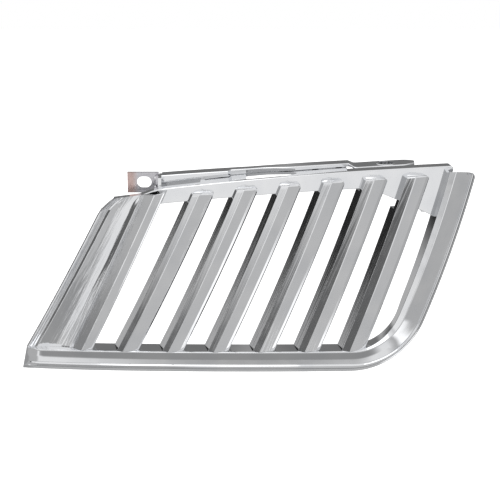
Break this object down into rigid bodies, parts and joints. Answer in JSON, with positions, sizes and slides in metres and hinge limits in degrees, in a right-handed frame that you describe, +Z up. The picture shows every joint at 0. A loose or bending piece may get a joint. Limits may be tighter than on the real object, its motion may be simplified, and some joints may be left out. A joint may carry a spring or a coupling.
{
  "type": "front grille half",
  "caption": "One half of a split chromed car grille: slanted louvre bars in a channel surround with a swept end panel, top rail, mounting strip and screw tab.",
  "frame": {"origin": "centre of the round locating hole in the mounting strip above the top rail", "axes": "+X along the grille's length, from its outer (swept-back) end towards the centre of the car; +Y from the front to the back; +Z up"},
  "size_m": [0.4699, 0.0647, 0.221],
  "materials": {
    "chrome_plating": "bright decorative chrome on moulded ABS",
    "tab_plating": "chrome, thin at the plating contact, with a copper tint",
    "zinc_screws": "zinc-plated steel"
  },
  "bodies": {
    "root": {"surround": "chrome_plating", "end_panel": "chrome_plating", "top_rail": "chrome_plating", "mounting_strip": "chrome_plating", "screw_tab": "tab_plating", "bar_1": "chrome_plating", "bar_2": "chrome_plating", "bar_3": "chrome_plating", "bar_4": "chrome_plating", "bar_5": "chrome_plating", "bar_6": "chrome_plating", "bar_top_screws": "zinc_screws", "bar_foot_screws": "zinc_screws", "panel_screws": "zinc_screws", "side_screws": "zinc_screws", "strip_screws": "zinc_screws", "tab_rivets": "zinc_screws"}
  },
  "joints": []
}
